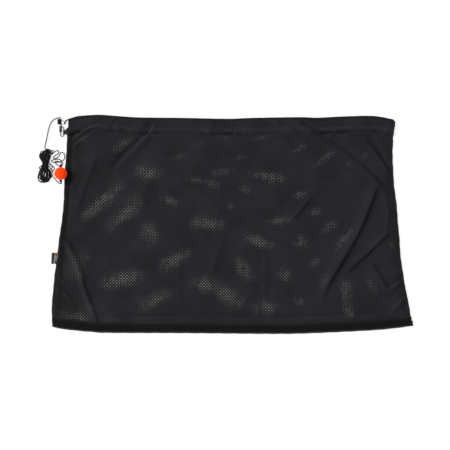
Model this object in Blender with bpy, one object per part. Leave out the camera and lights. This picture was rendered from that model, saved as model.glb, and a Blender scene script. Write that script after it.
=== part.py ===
"""Large drawcord sack of black mesh, laid flat, with its snap hook and float cord.

Metres, +Z up.  The sack lies on its back panel in the XY plane.  The mouth is at +Y,
the blind bottom at -Y, and the snap hook, cord and float lie beside its left (-X) edge.
"""
import math

import bmesh
import bpy
import numpy as np
from mathutils import Vector

GAP = 0.0003                 # between faces that touch

# Cloth
CLOTH = 0.0010               # one mesh panel
SEAM_WIDTH = 0.024           # side seam band
SEAM_EDGE = 0.0030           # height of a seam at its outer edge
BOTTOM_WIDTH = 0.032         # bottom seam band
BINDING = (0.0050, 0.0032)   # binding along the bottom edge, width and height
HEM = 0.053                  # depth of the casing round the mouth
HEM_CLOTH = 0.0006
CHANNEL_RADIUS = 0.00155     # inside the casing, round the drawcord
FRONT_LEVEL = 0.0090         # underside of the front panel above the floor

# Cords
DRAWCORD = 0.0025
CORD = 0.0030
FLOOR_CORD = CORD / 2 + GAP  # height of a cord's centre when it lies on the floor
HANK_HEIGHT = 0.015
LOOPS_HEIGHT = 0.007

# Snap hook: barrel and bolt along Y, hook end towards -Y, swivel eye towards +Y
SNAP_X = -0.5720
SNAP_Z = 0.0048
BARREL = (0.3075, 0.3285)    # its ends along Y
BARREL_RADIUS = 0.0045
CHAMBER_RADIUS = 0.0032
GUIDE_WALL = 0.0038          # wall that guides the bolt
CROWN_WALL = 0.0023          # wall that carries the swivel
BOLT_RADIUS = 0.0020
BOLT_TIP = 0.3008
BOLT_TRAVEL = 0.0068
COLLAR = 0.0016
KNOB_RADIUS = 0.0011
HOOK_WIRE = 0.0032
HOOK_RADIUS = 0.0055
HOOK_END = 0.3005            # where the hook's point meets the bolt
HOOK_CENTRE = 0.2985
BAR_X = SNAP_X + 2 * HOOK_RADIUS
EYE_RADIUS = 0.0085
EYE_WIRE = 0.0022
EYE_Y = 0.3405

# Float
BALL_RADIUS = 0.0210
BALL = Vector((-0.5702, 0.1690, BALL_RADIUS + 0.0005))
BALL_BORE = 0.0021

# The laid-out sack's outline, as points on its four edges
TOP_EDGE = [(-0.5475, 0.350), (-0.520, 0.3585), (-0.493, 0.362), (-0.440, 0.3645),
            (-0.387, 0.3605), (-0.307, 0.3555), (-0.170, 0.354), (-0.014, 0.351),
            (0.066, 0.354), (0.226, 0.3565), (0.279, 0.3545), (0.359, 0.3585),
            (0.452, 0.361), (0.492, 0.3575), (0.519, 0.352), (0.5415, 0.333)]
BOTTOM_EDGE = [(-0.6014, -0.339), (-0.577, -0.3465), (-0.520, -0.3535), (-0.467, -0.358),
               (-0.413, -0.361), (-0.147, -0.362), (0.146, -0.3645), (0.279, -0.3615),
               (0.439, -0.354), (0.519, -0.348), (0.6014, -0.3375)]
LEFT_EDGE = [(-0.5475, 0.350), (-0.552, 0.273), (-0.5555, 0.213), (-0.561, 0.133),
             (-0.562, 0.073), (-0.569, 0.013), (-0.577, -0.047), (-0.582, -0.087),
             (-0.592, -0.167), (-0.5985, -0.227), (-0.6014, -0.267), (-0.6014, -0.339)]
RIGHT_EDGE = [(0.5415, 0.333), (0.535, 0.293), (0.533, 0.213), (0.538, 0.133),
              (0.547, 0.053), (0.5535, -0.027), (0.560, -0.107), (0.571, -0.187),
              (0.5865, -0.267), (0.592, -0.306), (0.6014, -0.3375)]

# Outer shapes of the hank's figure of eight and of the loose loops beside it
HANK_OUTLINE = [(-0.6144, 0.2520), (-0.6344, 0.2424), (-0.6417, 0.2308), (-0.6410, 0.2175),
                (-0.6360, 0.2058), (-0.6334, 0.1975), (-0.6377, 0.1875), (-0.6460, 0.1742),
                (-0.6480, 0.1608), (-0.6410, 0.1442), (-0.6294, 0.1365), (-0.6144, 0.1392),
                (-0.6035, 0.1475), (-0.6034, 0.1608), (-0.6044, 0.1742), (-0.6061, 0.1875),
                (-0.6061, 0.1975), (-0.5977, 0.2075), (-0.5961, 0.2241), (-0.6011, 0.2408)]
LOOPS_OUTLINE = [(-0.5960, 0.2445), (-0.5895, 0.2510), (-0.5780, 0.2515), (-0.5680, 0.2450),
                 (-0.5590, 0.2330), (-0.5585, 0.2200), (-0.5620, 0.2110), (-0.5640, 0.2070),
                 (-0.5850, 0.2060), (-0.5885, 0.1960), (-0.5920, 0.1800), (-0.5995, 0.1760),
                 (-0.6015, 0.1860), (-0.6015, 0.1970), (-0.5935, 0.2060), (-0.5915, 0.2245)]

for leftover in list(bpy.data.objects):
    bpy.data.objects.remove(leftover, do_unlink=True)

sack = bpy.data.collections.new("mesh_drawcord_sack")
cutters = bpy.data.collections.new("cutters")
for collection in (sack, cutters):
    bpy.context.scene.collection.children.link(collection)


def material(name, colour, roughness, metallic=0.0):
    made = bpy.data.materials.new(name)
    made.use_nodes = True
    shader = made.node_tree.nodes["Principled BSDF"]
    shader.inputs["Base Color"].default_value = (*colour, 1.0)
    shader.inputs["Roughness"].default_value = roughness
    shader.inputs["Metallic"].default_value = metallic
    return made


BLACK_MESH = material("black_mesh", (0.018, 0.018, 0.022), 0.75)
BLACK_TAPE = material("black_tape", (0.014, 0.014, 0.016), 0.80)
BLACK_CORD = material("black_cord", (0.012, 0.012, 0.013), 0.85)
BLACK_HOOK = material("black_hook", (0.015, 0.015, 0.016), 0.30)
NICKEL = material("nickel", (0.60, 0.57, 0.52), 0.25, 1.0)
SPRING_STEEL = material("spring_steel", (0.55, 0.55, 0.57), 0.35, 1.0)
ORANGE_FOAM = material("orange_foam", (0.95, 0.09, 0.01), 0.60)
COPPER = material("copper_sleeve", (0.55, 0.27, 0.12), 0.35, 1.0)
LABEL = material("woven_label", (0.02, 0.02, 0.02), 0.70)


def keep(obj, name, finish, collection=sack):
    """Name an object, give it its finish and put it in its collection."""
    obj.name = name
    obj.data.name = name
    if finish is not None:
        obj.data.materials.clear()
        obj.data.materials.append(finish)
    for old in list(obj.users_collection):
        old.objects.unlink(obj)
    collection.objects.link(obj)
    if collection is cutters:
        obj.hide_render = True
        obj.display_type = "WIRE"
    return obj


def smooth(points, spacing, closed=False):
    """Points read at an even spacing from a smooth curve through the given ones."""
    points = [np.array(p, float) for p in points]
    if closed:
        points = [points[-1], *points, points[0], points[1]]
    else:
        points = [2 * points[0] - points[1], *points, 2 * points[-1] - points[-2]]
    fine = []
    for a, b, c, d in zip(points, points[1:], points[2:], points[3:]):
        for t in np.linspace(0, 1, 16, endpoint=False):
            fine.append(0.5 * (2 * b + (c - a) * t + (2 * a - 5 * b + 4 * c - d) * t ** 2
                               + (3 * b - a - 3 * c + d) * t ** 3))
    fine = np.array([*fine, points[-2]])
    run = np.concatenate([[0], np.cumsum(np.linalg.norm(np.diff(fine, axis=0), axis=1))])
    marks = np.linspace(0, run[-1], max(2, round(run[-1] / spacing) + 1))
    read = np.column_stack([np.interp(marks, run, column) for column in fine.T])
    return read[:-1] if closed else read


def slab(name, outline, low, high, finish):
    """A flat outline with a thickness, lying between two heights."""
    curve = bpy.data.curves.new(name, "CURVE")
    curve.dimensions = "2D"
    curve.fill_mode = "BOTH"
    curve.extrude = (high - low) / 2
    spline = curve.splines.new("POLY")
    spline.points.add(len(outline) - 1)
    for point, (x, y) in zip(spline.points, outline):
        point.co = (x, y, 0, 1)
    spline.use_cyclic_u = True
    obj = bpy.data.objects.new(name, curve)
    obj.location.z = (low + high) / 2
    return keep(obj, name, finish)


def tube(name, points, diameter, finish, collection=sack, sides=2):
    """A round cord or wire through the points, with filled ends."""
    curve = bpy.data.curves.new(name, "CURVE")
    curve.dimensions = "3D"
    curve.bevel_depth = diameter / 2
    curve.bevel_resolution = sides
    curve.use_fill_caps = True
    spline = curve.splines.new("POLY")
    spline.points.add(len(points) - 1)
    for point, place in zip(spline.points, points):
        point.co = (*place, 1)
    return keep(bpy.data.objects.new(name, curve), name, finish, collection)


def lofted(name, sections, finish):
    """One closed body through a row of like sections, each a list of points."""
    mesh = bpy.data.meshes.new(name)
    bm = bmesh.new()
    rings = [[bm.verts.new(point) for point in section] for section in sections]
    for ring, following in zip(rings, rings[1:]):
        for k in range(len(ring)):
            bm.faces.new((ring[k - 1], ring[k], following[k], following[k - 1]))
    bm.faces.new(rings[0])
    bm.faces.new(rings[-1])
    bmesh.ops.recalc_face_normals(bm, faces=bm.faces)
    bm.to_mesh(mesh)
    bm.free()
    return keep(bpy.data.objects.new(name, mesh), name, finish)


def rod(name, start, end, radius, finish=None, collection=cutters, sides=24):
    """A cylinder between two points."""
    start, end = Vector(start), Vector(end)
    bpy.ops.mesh.primitive_cylinder_add(
        vertices=sides, radius=radius, depth=(end - start).length, location=(start + end) / 2,
        rotation=(end - start).to_track_quat("Z", "Y").to_euler())
    return keep(bpy.context.object, name, finish, collection)


def torus(name, centre, radius, wire, axis, finish, stretch=1.0):
    """A ring of round wire about an axis, stretched along it."""
    bpy.ops.mesh.primitive_torus_add(
        major_radius=radius, minor_radius=wire, major_segments=20, minor_segments=8,
        location=centre, rotation=Vector(axis).to_track_quat("Z", "Y").to_euler())
    obj = bpy.context.object
    obj.scale.z = stretch
    obj.data.shade_smooth()
    return keep(obj, name, finish)


def shape(obj, operation, *others):
    """Join other objects to this one, or cut them from it."""
    for other in others:
        change = obj.modifiers.new(f"{operation} {other.name}", "BOOLEAN")
        change.operation = operation
        change.object = other


class Edge:
    """One edge of the laid-out sack: a coordinate across it for each one along it."""

    def __init__(self, points, along, spacing):
        line = smooth(points, spacing)
        line = line[np.argsort(line[:, along])]
        self.marks, self.across = line[:, along], line[:, 1 - along]

    def __call__(self, value):
        return float(np.interp(value, self.marks, self.across))

    def stations(self, start, end):
        """Every mark of the edge between two ends, and the ends."""
        inside = [m for m in self.marks if min(start, end) + 0.002 < m < max(start, end) - 0.002]
        return [start, *sorted(inside, reverse=start > end), end]


top_y = Edge(TOP_EDGE, 0, 0.045)
bottom_y = Edge(BOTTOM_EDGE, 0, 0.070)
left_x = Edge(LEFT_EDGE, 1, 0.050)
right_x = Edge(RIGHT_EDGE, 1, 0.050)


def hem_line(x):
    return top_y(x) - HEM - GAP


# --- Panels: the cloth of the back and of the front ------------------------------------------

def panel(name, low, inset, bottom_inset):
    """The sack's outline, drawn in from its sides and bottom, up to the casing."""
    def below(x):
        return bottom_y(x) + bottom_inset

    left_rows = left_x.stations(hem_line(left_x(0.3) + inset), below(-0.6014 + inset))
    right_rows = right_x.stations(below(0.6014 - inset), hem_line(right_x(0.3) - inset))
    left = [(left_x(y) + inset, y) for y in left_rows]
    right = [(right_x(y) - inset, y) for y in right_rows]
    low_edge = [(x, below(x)) for x in bottom_y.stations(left[-1][0], right[0][0])[1:-1]]
    mouth = [(x, hem_line(x)) for x in top_y.stations(right[-1][0], left[0][0])[1:-1]]
    return slab(name, left + low_edge + right + mouth, low, low + CLOTH, BLACK_MESH)


binding_inset = BINDING[0] + GAP
panel("back_panel", 0.0, 0.0, binding_inset)
panel("front_panel", FRONT_LEVEL, SEAM_WIDTH + GAP, binding_inset + BOTTOM_WIDTH + GAP)

# --- Seams: bands that join the panels, thin at the outer edge -------------------------------

seam_low = CLOTH + GAP
seam_top = FRONT_LEVEL + CLOTH
bottom_reach = binding_inset + BOTTOM_WIDTH + GAP


def band(width):
    return [(0.0, seam_low), (width, seam_low), (width, seam_top), (0.0, SEAM_EDGE)]


left_rows = left_x.stations(hem_line(-0.547), bottom_y(-0.600) + bottom_reach)
lofted("left_seam", [[(left_x(y) + u, y, z) for u, z in band(SEAM_WIDTH)] for y in left_rows],
       BLACK_MESH)
right_rows = right_x.stations(hem_line(0.536), bottom_y(0.594) + bottom_reach)
lofted("right_seam", [[(right_x(y) - u, y, z) for u, z in band(SEAM_WIDTH)]
                      for y in right_rows], BLACK_MESH)
lofted("bottom_seam", [[(x, bottom_y(x) + binding_inset + u, z) for u, z in band(BOTTOM_WIDTH)]
                       for x in bottom_y.stations(-0.600, 0.594)], BLACK_MESH)
binding_profile = [(0.0, 0.0), (BINDING[0], 0.0), BINDING, (0.0, BINDING[1])]
lofted("bottom_binding", [[(x, bottom_y(x) + u, z) for u, z in binding_profile]
                          for x in bottom_y.stations(-0.6014, 0.6014)], BLACK_TAPE)

# --- Casing: each side of the mouth, folded over the drawcord --------------------------------

hem_ends = (-0.5465, 0.5340)
hem_columns = top_y.stations(*hem_ends)
fold_radius = CHANNEL_RADIUS + HEM_CLOTH
fold_turn = np.radians(np.linspace(-90, 150, 9))


def hem_profile(low):
    """Two layers of cloth, open at the stitched edge and round at the mouth."""
    outer = [(-fold_radius + fold_radius * math.cos(a), low + fold_radius * (1 + math.sin(a)))
             for a in fold_turn]
    inner = [(-fold_radius + CHANNEL_RADIUS * math.cos(a),
              low + fold_radius + CHANNEL_RADIUS * math.sin(a)) for a in fold_turn[::-1]]
    upper = low + HEM_CLOTH + GAP
    return [(-HEM, low), *outer, (-0.0085, upper + HEM_CLOTH), (-HEM, upper + HEM_CLOTH),
            (-HEM, upper), (-0.0082, upper), *inner, (-HEM, low + HEM_CLOTH)]


for name, low in (("hem_back", 0.0), ("hem_front", FRONT_LEVEL)):
    lofted(name, [[(x, top_y(x) + u, z) for u, z in hem_profile(low)] for x in hem_columns],
           BLACK_MESH)

# --- Drawcord: along the back casing, round the right end and back along the front -----------

back_level = fold_radius
front_level = FRONT_LEVEL + fold_radius
turn_radius = (front_level - back_level) / 2
turn_x = hem_ends[1] + 0.0015
run_back = [(x, top_y(x) - fold_radius, back_level) for x in hem_columns]
run_front = [(x, top_y(x) - fold_radius, front_level) for x in hem_columns[::-1]]
turn = [(turn_x + turn_radius * math.cos(a), top_y(turn_x) - fold_radius,
         back_level + turn_radius * (1 + math.sin(a)))
        for a in np.radians(np.linspace(-90, 90, 7))]
KNOT = Vector((-0.5590, 0.3360, 0.0024))
tail_back = smooth([KNOT + Vector((-0.0004, 0.0042, -0.0008)), (-0.5575, 0.3440, 0.0016),
                    (-0.5535, 0.3474, 0.0018), run_back[0]], 0.005)
tail_front = smooth([run_front[-1], (-0.5498, 0.3470, 0.0100), (-0.5525, 0.3432, 0.0062),
                     KNOT + Vector((0.0034, 0.0030, 0.0002))], 0.005)
tube("drawcord", [*tail_back[:-1], *run_back, *turn, *run_front, *tail_front[1:]], DRAWCORD,
     BLACK_CORD)

bpy.ops.mesh.primitive_uv_sphere_add(segments=16, ring_count=10, radius=1.0, location=KNOT)
drawcord_knot = bpy.context.object
drawcord_knot.scale = (0.0025, 0.0026, 0.0020)
drawcord_knot.data.shade_smooth()
keep(drawcord_knot, "drawcord_knot", BLACK_CORD)

# --- Snap hook: barrel and hook in one casting, sprung bolt, swivel eye ----------------------


def on_axis(y):
    return (SNAP_X, y, SNAP_Z)


hook_arc = [(SNAP_X + HOOK_RADIUS * (1 - math.cos(a)), HOOK_CENTRE - HOOK_RADIUS * math.sin(a),
             SNAP_Z) for a in np.linspace(0, math.pi, 15)]
hook_bar = smooth([(BAR_X, 0.3005, SNAP_Z), (BAR_X, 0.3150, SNAP_Z),
                   (BAR_X - 0.0006, 0.3195, SNAP_Z), (BAR_X - 0.0034, 0.3238, SNAP_Z),
                   (SNAP_X + 0.0038, 0.3252, SNAP_Z)], 0.0022)
hook_curve = tube("hook_wire_curve", [on_axis(HOOK_END), *hook_arc, *hook_bar], HOOK_WIRE, None,
                  cutters, sides=3)
bpy.context.view_layer.update()
wire_mesh = bpy.data.meshes.new_from_object(
    hook_curve.evaluated_get(bpy.context.evaluated_depsgraph_get()))
bm = bmesh.new()
bm.from_mesh(wire_mesh)
bmesh.ops.remove_doubles(bm, verts=bm.verts, dist=0.00001)
bmesh.ops.recalc_face_normals(bm, faces=bm.faces)
bm.to_mesh(wire_mesh)
bm.free()
hook_wire = bpy.data.objects.new("hook_wire", wire_mesh)
hook_wire.matrix_world = hook_curve.matrix_world
bpy.data.objects.remove(hook_curve)
keep(hook_wire, "hook_wire", None, cutters)

chamber = (BARREL[0] + GUIDE_WALL, BARREL[1] - CROWN_WALL)
collar = (chamber[0] + GAP, chamber[0] + GAP + COLLAR)
knob_y = sum(collar) / 2
slot_margin = KNOB_RADIUS + GAP
bpy.ops.mesh.primitive_cube_add(size=1, location=(SNAP_X, knob_y + BOLT_TRAVEL / 2,
                                                  SNAP_Z + BARREL_RADIUS))
slot = bpy.context.object
slot.scale = (2 * slot_margin, BOLT_TRAVEL + 2 * slot_margin, 0.006)
keep(slot, "knob_slot", None, cutters)
snap_hook = rod("snap_hook", on_axis(BARREL[0]), on_axis(BARREL[1]), BARREL_RADIUS, BLACK_HOOK,
                sack)
shape(snap_hook, "UNION", hook_wire)
shape(snap_hook, "DIFFERENCE",
      rod("chamber", on_axis(chamber[0]), on_axis(chamber[1]), CHAMBER_RADIUS),
      rod("bolt_bore", on_axis(BARREL[0] - 0.0005), on_axis(chamber[0] + 0.001),
          BOLT_RADIUS + 0.0002),
      rod("swivel_bore", on_axis(chamber[1] - 0.001), on_axis(BARREL[1] + 0.001), 0.0017),
      slot)

snap_bolt = rod("snap_bolt", on_axis(BOLT_TIP), on_axis(knob_y), BOLT_RADIUS, BLACK_HOOK, sack)
knob_top = SNAP_Z + BARREL_RADIUS + 0.0023
shape(snap_bolt, "UNION",
      rod("bolt_collar", on_axis(collar[0]), on_axis(collar[1]), CHAMBER_RADIUS - GAP),
      rod("knob_stem", (SNAP_X, knob_y, SNAP_Z), (SNAP_X, knob_y, knob_top - 0.0005),
          KNOB_RADIUS, sides=16),
      rod("knob_button", (SNAP_X, knob_y, knob_top - 0.0018), (SNAP_X, knob_y, knob_top),
          0.0023))

head = (chamber[1] - 0.0016, chamber[1] - GAP)
swivel_eye = torus("swivel_eye", on_axis(EYE_Y), EYE_RADIUS, EYE_WIRE / 2, (0, 0, 1), NICKEL)
shape(swivel_eye, "UNION",
      rod("swivel_shoulder", on_axis(BARREL[1] + GAP), on_axis(EYE_Y - EYE_RADIUS + 0.0006),
          0.0026),
      rod("swivel_stem", on_axis(head[0] + GAP), on_axis(EYE_Y - EYE_RADIUS), 0.0014),
      rod("swivel_head", on_axis(head[0]), on_axis(head[1]), 0.0026))

SPRING_TURNS, SPRING_RADIUS, SPRING_WIRE = 5.5, 0.0024, 0.0006
spring_ends = (collar[1] + GAP + SPRING_WIRE / 2, head[0] - GAP - SPRING_WIRE / 2)
spring_line = [(SNAP_X + SPRING_RADIUS * math.cos(2 * math.pi * SPRING_TURNS * t),
                spring_ends[0] + (spring_ends[1] - spring_ends[0]) * t,
                SNAP_Z + SPRING_RADIUS * math.sin(2 * math.pi * SPRING_TURNS * t))
               for t in np.linspace(0, 1, int(SPRING_TURNS * 10) + 1)]
tube("bolt_spring", spring_line, SPRING_WIRE, SPRING_STEEL, sides=1)

# --- Webbing tab: sewn to the left edge, folded round the hook's bar -------------------------

TAB_CLOTH = 0.0012
TAB_REACH = 0.0142           # from the bar to the casing's end
TAB_FOLD = (0.2995, 0.3145)  # the strap is bunched where it passes the hook
TAB_SEWN = (0.2975, 0.3240)
tab_inner = HOOK_WIRE / 2 + 0.0004
tab_outer = tab_inner + TAB_CLOTH
tab_turn = np.radians(np.linspace(90, 270, 11))


def tab_layer(radius, turn):
    return [(radius * math.cos(a), radius * math.sin(a)) for a in turn]


tab_profile = [(TAB_REACH, tab_outer), (0.005, tab_outer), *tab_layer(tab_outer, tab_turn),
               (0.005, -tab_outer), (TAB_REACH, -tab_outer), (TAB_REACH, -tab_inner),
               (0.005, -tab_inner), *tab_layer(tab_inner, tab_turn[::-1]),
               (0.005, tab_inner), (TAB_REACH, tab_inner)]


def tab_side(fold_y, sewn_y):
    """One edge of the strap, which spreads from the fold to the seam."""
    def spread(u):
        return max(0.0, u - 0.005) / (TAB_REACH - 0.005)

    return [(BAR_X + u, fold_y + (sewn_y - fold_y) * spread(u), SNAP_Z + w)
            for u, w in tab_profile]


lofted("webbing_tab", [tab_side(*edge) for edge in zip(TAB_FOLD, TAB_SEWN)], BLACK_TAPE)

# --- Woven label on the left edge ------------------------------------------------------------

LABEL_ROWS = (-0.1310, -0.0940)
sewn_edge = [(left_x(y) - GAP, y) for y in LABEL_ROWS]
slab("side_label", [(-0.6035, LABEL_ROWS[0]), *sewn_edge, (-0.6020, LABEL_ROWS[1])],
     GAP, 0.0012, LABEL)

# --- Retention cord: leader from the eye, hank, loose loops, float and its knots -------------

KNOT_RADIUS, KNOT_WIRE = 0.0029, 0.0014
knot_centre = EYE_Y + EYE_RADIUS
torus("eye_knot", on_axis(knot_centre), KNOT_RADIUS, KNOT_WIRE, (1, 0, 0), BLACK_CORD,
      stretch=2.0)
leader_start = knot_centre + KNOT_RADIUS + KNOT_WIRE + GAP + CORD / 2
leader_route = [(SNAP_X - 0.0010, leader_start, 0.0044), (-0.5790, 0.3568, 0.0026),
                (-0.5890, 0.3520, FLOOR_CORD), (-0.5995, 0.3440, FLOOR_CORD),
                (-0.6070, 0.3330, FLOOR_CORD), (-0.6130, 0.3130, FLOOR_CORD),
                (-0.6190, 0.2840, FLOOR_CORD), (-0.6225, 0.2620, FLOOR_CORD),
                (-0.6235, 0.2515, FLOOR_CORD)]
tube("cord_leader", smooth(leader_route, 0.0065), CORD, BLACK_CORD)
slab("cord_hank", smooth(HANK_OUTLINE, 0.008, closed=True), GAP, HANK_HEIGHT, BLACK_CORD)
slab("cord_loops", smooth(LOOPS_OUTLINE, 0.008, closed=True), GAP, LOOPS_HEIGHT, BLACK_CORD)

bpy.ops.mesh.primitive_uv_sphere_add(segments=28, ring_count=18, radius=BALL_RADIUS,
                                     location=BALL, rotation=(math.pi / 2, 0, 0))
float_ball = bpy.context.object
float_ball.data.shade_smooth()
keep(float_ball, "float_ball", ORANGE_FOAM)
along_y = Vector((0, 1, 0))
shape(float_ball, "DIFFERENCE",
      rod("ball_bore", BALL - 1.2 * BALL_RADIUS * along_y, BALL + 1.2 * BALL_RADIUS * along_y,
          BALL_BORE, sides=16))

STOP_RADIUS, STOP_WIRE = 0.0034, 0.0015
stop_offset = (BALL_RADIUS + 2 * STOP_WIRE + 0.0010) * along_y
for name, centre in (("upper_knot", BALL + stop_offset), ("lower_knot", BALL - stop_offset)):
    torus(name, centre, STOP_RADIUS, STOP_WIRE, (0, 1, 0), BLACK_CORD, stretch=1.6)

ball_route = [(-0.5735, 0.2040, 0.0030), (-0.5722, 0.2015, 0.0120),
              BALL + stop_offset + 0.0035 * along_y, BALL + stop_offset, BALL + 0.015 * along_y,
              BALL, BALL - 0.015 * along_y, BALL - stop_offset,
              BALL - stop_offset - 0.0035 * along_y, (-0.5700, 0.1350, 0.0150),
              (-0.5705, 0.1325, 0.0060), (-0.5750, 0.1330, FLOOR_CORD),
              (-0.5820, 0.1400, FLOOR_CORD), (-0.5880, 0.1480, FLOOR_CORD)]
tube("ball_cord", smooth(ball_route, 0.0045), CORD, BLACK_CORD)
rod("end_ferrule", (-0.5885, 0.1487, 0.0024), (-0.5965, 0.1590, 0.0024), 0.0021, COPPER, sack,
    sides=16)
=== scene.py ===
import math

import bmesh
import bpy
import numpy as np
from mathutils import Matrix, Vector, noise


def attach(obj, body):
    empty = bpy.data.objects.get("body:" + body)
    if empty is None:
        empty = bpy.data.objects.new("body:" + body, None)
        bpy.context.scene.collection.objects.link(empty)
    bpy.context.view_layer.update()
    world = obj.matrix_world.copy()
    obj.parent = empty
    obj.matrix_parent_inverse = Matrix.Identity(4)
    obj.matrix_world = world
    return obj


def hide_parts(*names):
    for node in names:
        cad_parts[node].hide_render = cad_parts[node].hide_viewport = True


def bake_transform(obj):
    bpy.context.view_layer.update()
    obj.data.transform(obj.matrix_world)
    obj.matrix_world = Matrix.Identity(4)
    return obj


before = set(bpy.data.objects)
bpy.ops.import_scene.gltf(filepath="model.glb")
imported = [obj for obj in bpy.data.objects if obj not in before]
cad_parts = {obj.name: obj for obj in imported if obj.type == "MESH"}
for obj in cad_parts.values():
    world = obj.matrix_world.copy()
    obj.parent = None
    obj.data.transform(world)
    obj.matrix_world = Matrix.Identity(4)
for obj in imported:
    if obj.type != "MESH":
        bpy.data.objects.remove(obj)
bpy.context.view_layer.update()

# --- Camera ----------------------------------------------------------------------------------
# It stands straight above the laid-out sack, so that the whole outline and the cord beside
# it lie in view.


def placed(name, data):
    """An object of that data, linked into the scene."""
    obj = bpy.data.objects.new(name, data)
    bpy.context.scene.collection.objects.link(obj)
    return obj


camera = placed("camera", bpy.data.cameras.new("camera"))
camera.location = (-0.0253, -0.0018, 6.0)
camera.data.lens, camera.data.sensor_width = 144.2, 36.0
bpy.context.scene.camera = camera

# --- Retention cord --------------------------------------------------------------------------
# Five metres of 3 mm braided polyester cord.  It is tied to the swivel eye, wound into a loose
# figure-of-eight hank, and runs through the float ball to a crimped sleeve on its end.
CORD = 0.0030
FLOOR_CORD = CORD / 2 + 0.0003
BALL = Vector((-0.5702, 0.1690, 0.0215))
BALL_RADIUS = 0.0210
STOP = 0.0250                       # from the ball's centre to each stop knot
SNAP_X, SNAP_Z = -0.5720, 0.0048
CORD_EXIT = (SNAP_X - 0.0010, 0.3551, 0.0044)


def smooth_line(points, spacing):
    """Points at an even spacing on a smooth curve through the given ones."""
    points = [np.array(p, float) for p in points]
    points = [2 * points[0] - points[1], *points, 2 * points[-1] - points[-2]]
    fine = []
    for a, b, c, d in zip(points, points[1:], points[2:], points[3:]):
        for t in np.linspace(0, 1, 12, endpoint=False):
            fine.append(0.5 * (2 * b + (c - a) * t + (2 * a - 5 * b + 4 * c - d) * t ** 2
                               + (3 * b - a - 3 * c + d) * t ** 3))
    fine = np.array([*fine, points[-2]])
    run = np.concatenate([[0], np.cumsum(np.linalg.norm(np.diff(fine, axis=0), axis=1))])
    marks = np.linspace(0, run[-1], max(2, round(run[-1] / spacing) + 1))
    return np.column_stack([np.interp(marks, run, column) for column in fine.T])


leader = [CORD_EXIT, (-0.5800, 0.3546, 0.0026), (-0.5890, 0.3520, FLOOR_CORD),
          (-0.5985, 0.3455, FLOOR_CORD), (-0.6062, 0.3340, FLOOR_CORD),
          (-0.6130, 0.3130, FLOOR_CORD), (-0.6190, 0.2840, FLOOR_CORD),
          (-0.6236, 0.2635, FLOOR_CORD)]

HANK_TURNS, TURN_POINTS = 17, 16
WAIST_X, WAIST_Y = -0.6222, 0.1960
HANK_RISE = 0.0085                  # how much higher the last turn lies than the first
hank = []


def vary(turn, middle, swing, pace, phase=0.0):
    """A measure of the hank that differs from turn to turn."""
    return middle + swing * math.cos(pace * turn + phase)


for mark in range(TURN_POINTS * HANK_TURNS):
    # a turn runs from waist to waist; each differs in its two lobes' reach, half width and shift
    angle = 2 * math.pi * mark / TURN_POINTS
    turn = math.floor((angle + math.pi / 2) / (2 * math.pi))
    high = math.cos(angle)
    if high > 0:
        reach, half = vary(turn, 0.0470, 0.0085, 2.4), vary(turn, 0.0105, 0.0060, 1.7)
        shift = vary(turn, -0.0040, 0.0105, 3.7, 2.0)
    else:
        reach, half = vary(turn, 0.0510, 0.0060, 2.9, 0.3), vary(turn, 0.0135, 0.0065, 2.1, 2.0)
        shift = vary(turn, 0.0010, 0.0070, 1.3, 0.7)
    waist = vary(turn, 0.0, 0.0085, 2.6, 1.2)
    round_lobe = math.copysign(abs(math.sin(2 * angle)) ** 0.75, math.sin(2 * angle))
    sideways = half * round_lobe + shift * abs(high) ** 0.6 + waist * (1 - abs(high))
    lift = 0.0030 * math.exp(-((angle % (2 * math.pi) - 1.5 * math.pi) / 0.5) ** 2)
    hank.append((WAIST_X + 0.004 * high + sideways, WAIST_Y + reach * high,
                 FLOOR_CORD + HANK_RISE * mark / (TURN_POINTS * HANK_TURNS) + lift))
top_loops = [(-0.624, 0.23, 0.0115), (-0.6225, 0.243, 0.012), (-0.6175, 0.252, 0.0105),
             (-0.61, 0.2515, 0.0095), (-0.608, 0.244, 0.0105), (-0.614, 0.2385, 0.012),
             (-0.624, 0.24, 0.0125), (-0.633, 0.2455, 0.0105), (-0.6395, 0.241, 0.009),
             (-0.64, 0.232, 0.009), (-0.634, 0.226, 0.011), (-0.629, 0.217, 0.012)]
left_bight = [(-0.63, 0.198, 0.012), (-0.64, 0.1905, 0.01), (-0.6452, 0.1913, 0.008),
              (-0.6458, 0.1878, 0.007), (-0.64, 0.185, 0.008), (-0.628, 0.179, 0.011),
              (-0.618, 0.181, 0.012)]
small_loop = [(-0.6131, 0.2008, 0.011), (-0.6029, 0.1966, 0.005), (-0.5955, 0.1929, 0.003),
              (-0.5904, 0.186, 0.0018), (-0.5923, 0.1814, 0.0018), (-0.5992, 0.1781, 0.002),
              (-0.6075, 0.1735, 0.006), (-0.6135, 0.1762, 0.01), (-0.6103, 0.1814, 0.008),
              (-0.6029, 0.185, 0.004), (-0.5975, 0.1905, 0.0055), (-0.603, 0.1985, 0.007),
              (-0.612, 0.205, 0.011), (-0.614, 0.22, 0.012), (-0.609, 0.237, 0.009)]
first_loop = [(-0.6029, 0.245, 0.006), (-0.5965, 0.249, 0.0025), (-0.5938, 0.2462, 0.0018),
              (-0.601, 0.2385, 0.004), (-0.6035, 0.229, 0.0045), (-0.5992, 0.2345, 0.0018),
              (-0.5909, 0.2438, 0.0018), (-0.583, 0.2475, 0.0018), (-0.5765, 0.2438, 0.0018),
              (-0.5775, 0.2369, 0.0018), (-0.5844, 0.2322, 0.0018), (-0.5918, 0.2285, 0.0018),
              (-0.5973, 0.2248, 0.0018), (-0.5992, 0.2207, 0.0018), (-0.5955, 0.2171, 0.0018),
              (-0.5867, 0.2188, 0.0018), (-0.5784, 0.2262, 0.0018), (-0.5735, 0.2345, 0.0018),
              (-0.5744, 0.2404, 0.003)]
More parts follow.
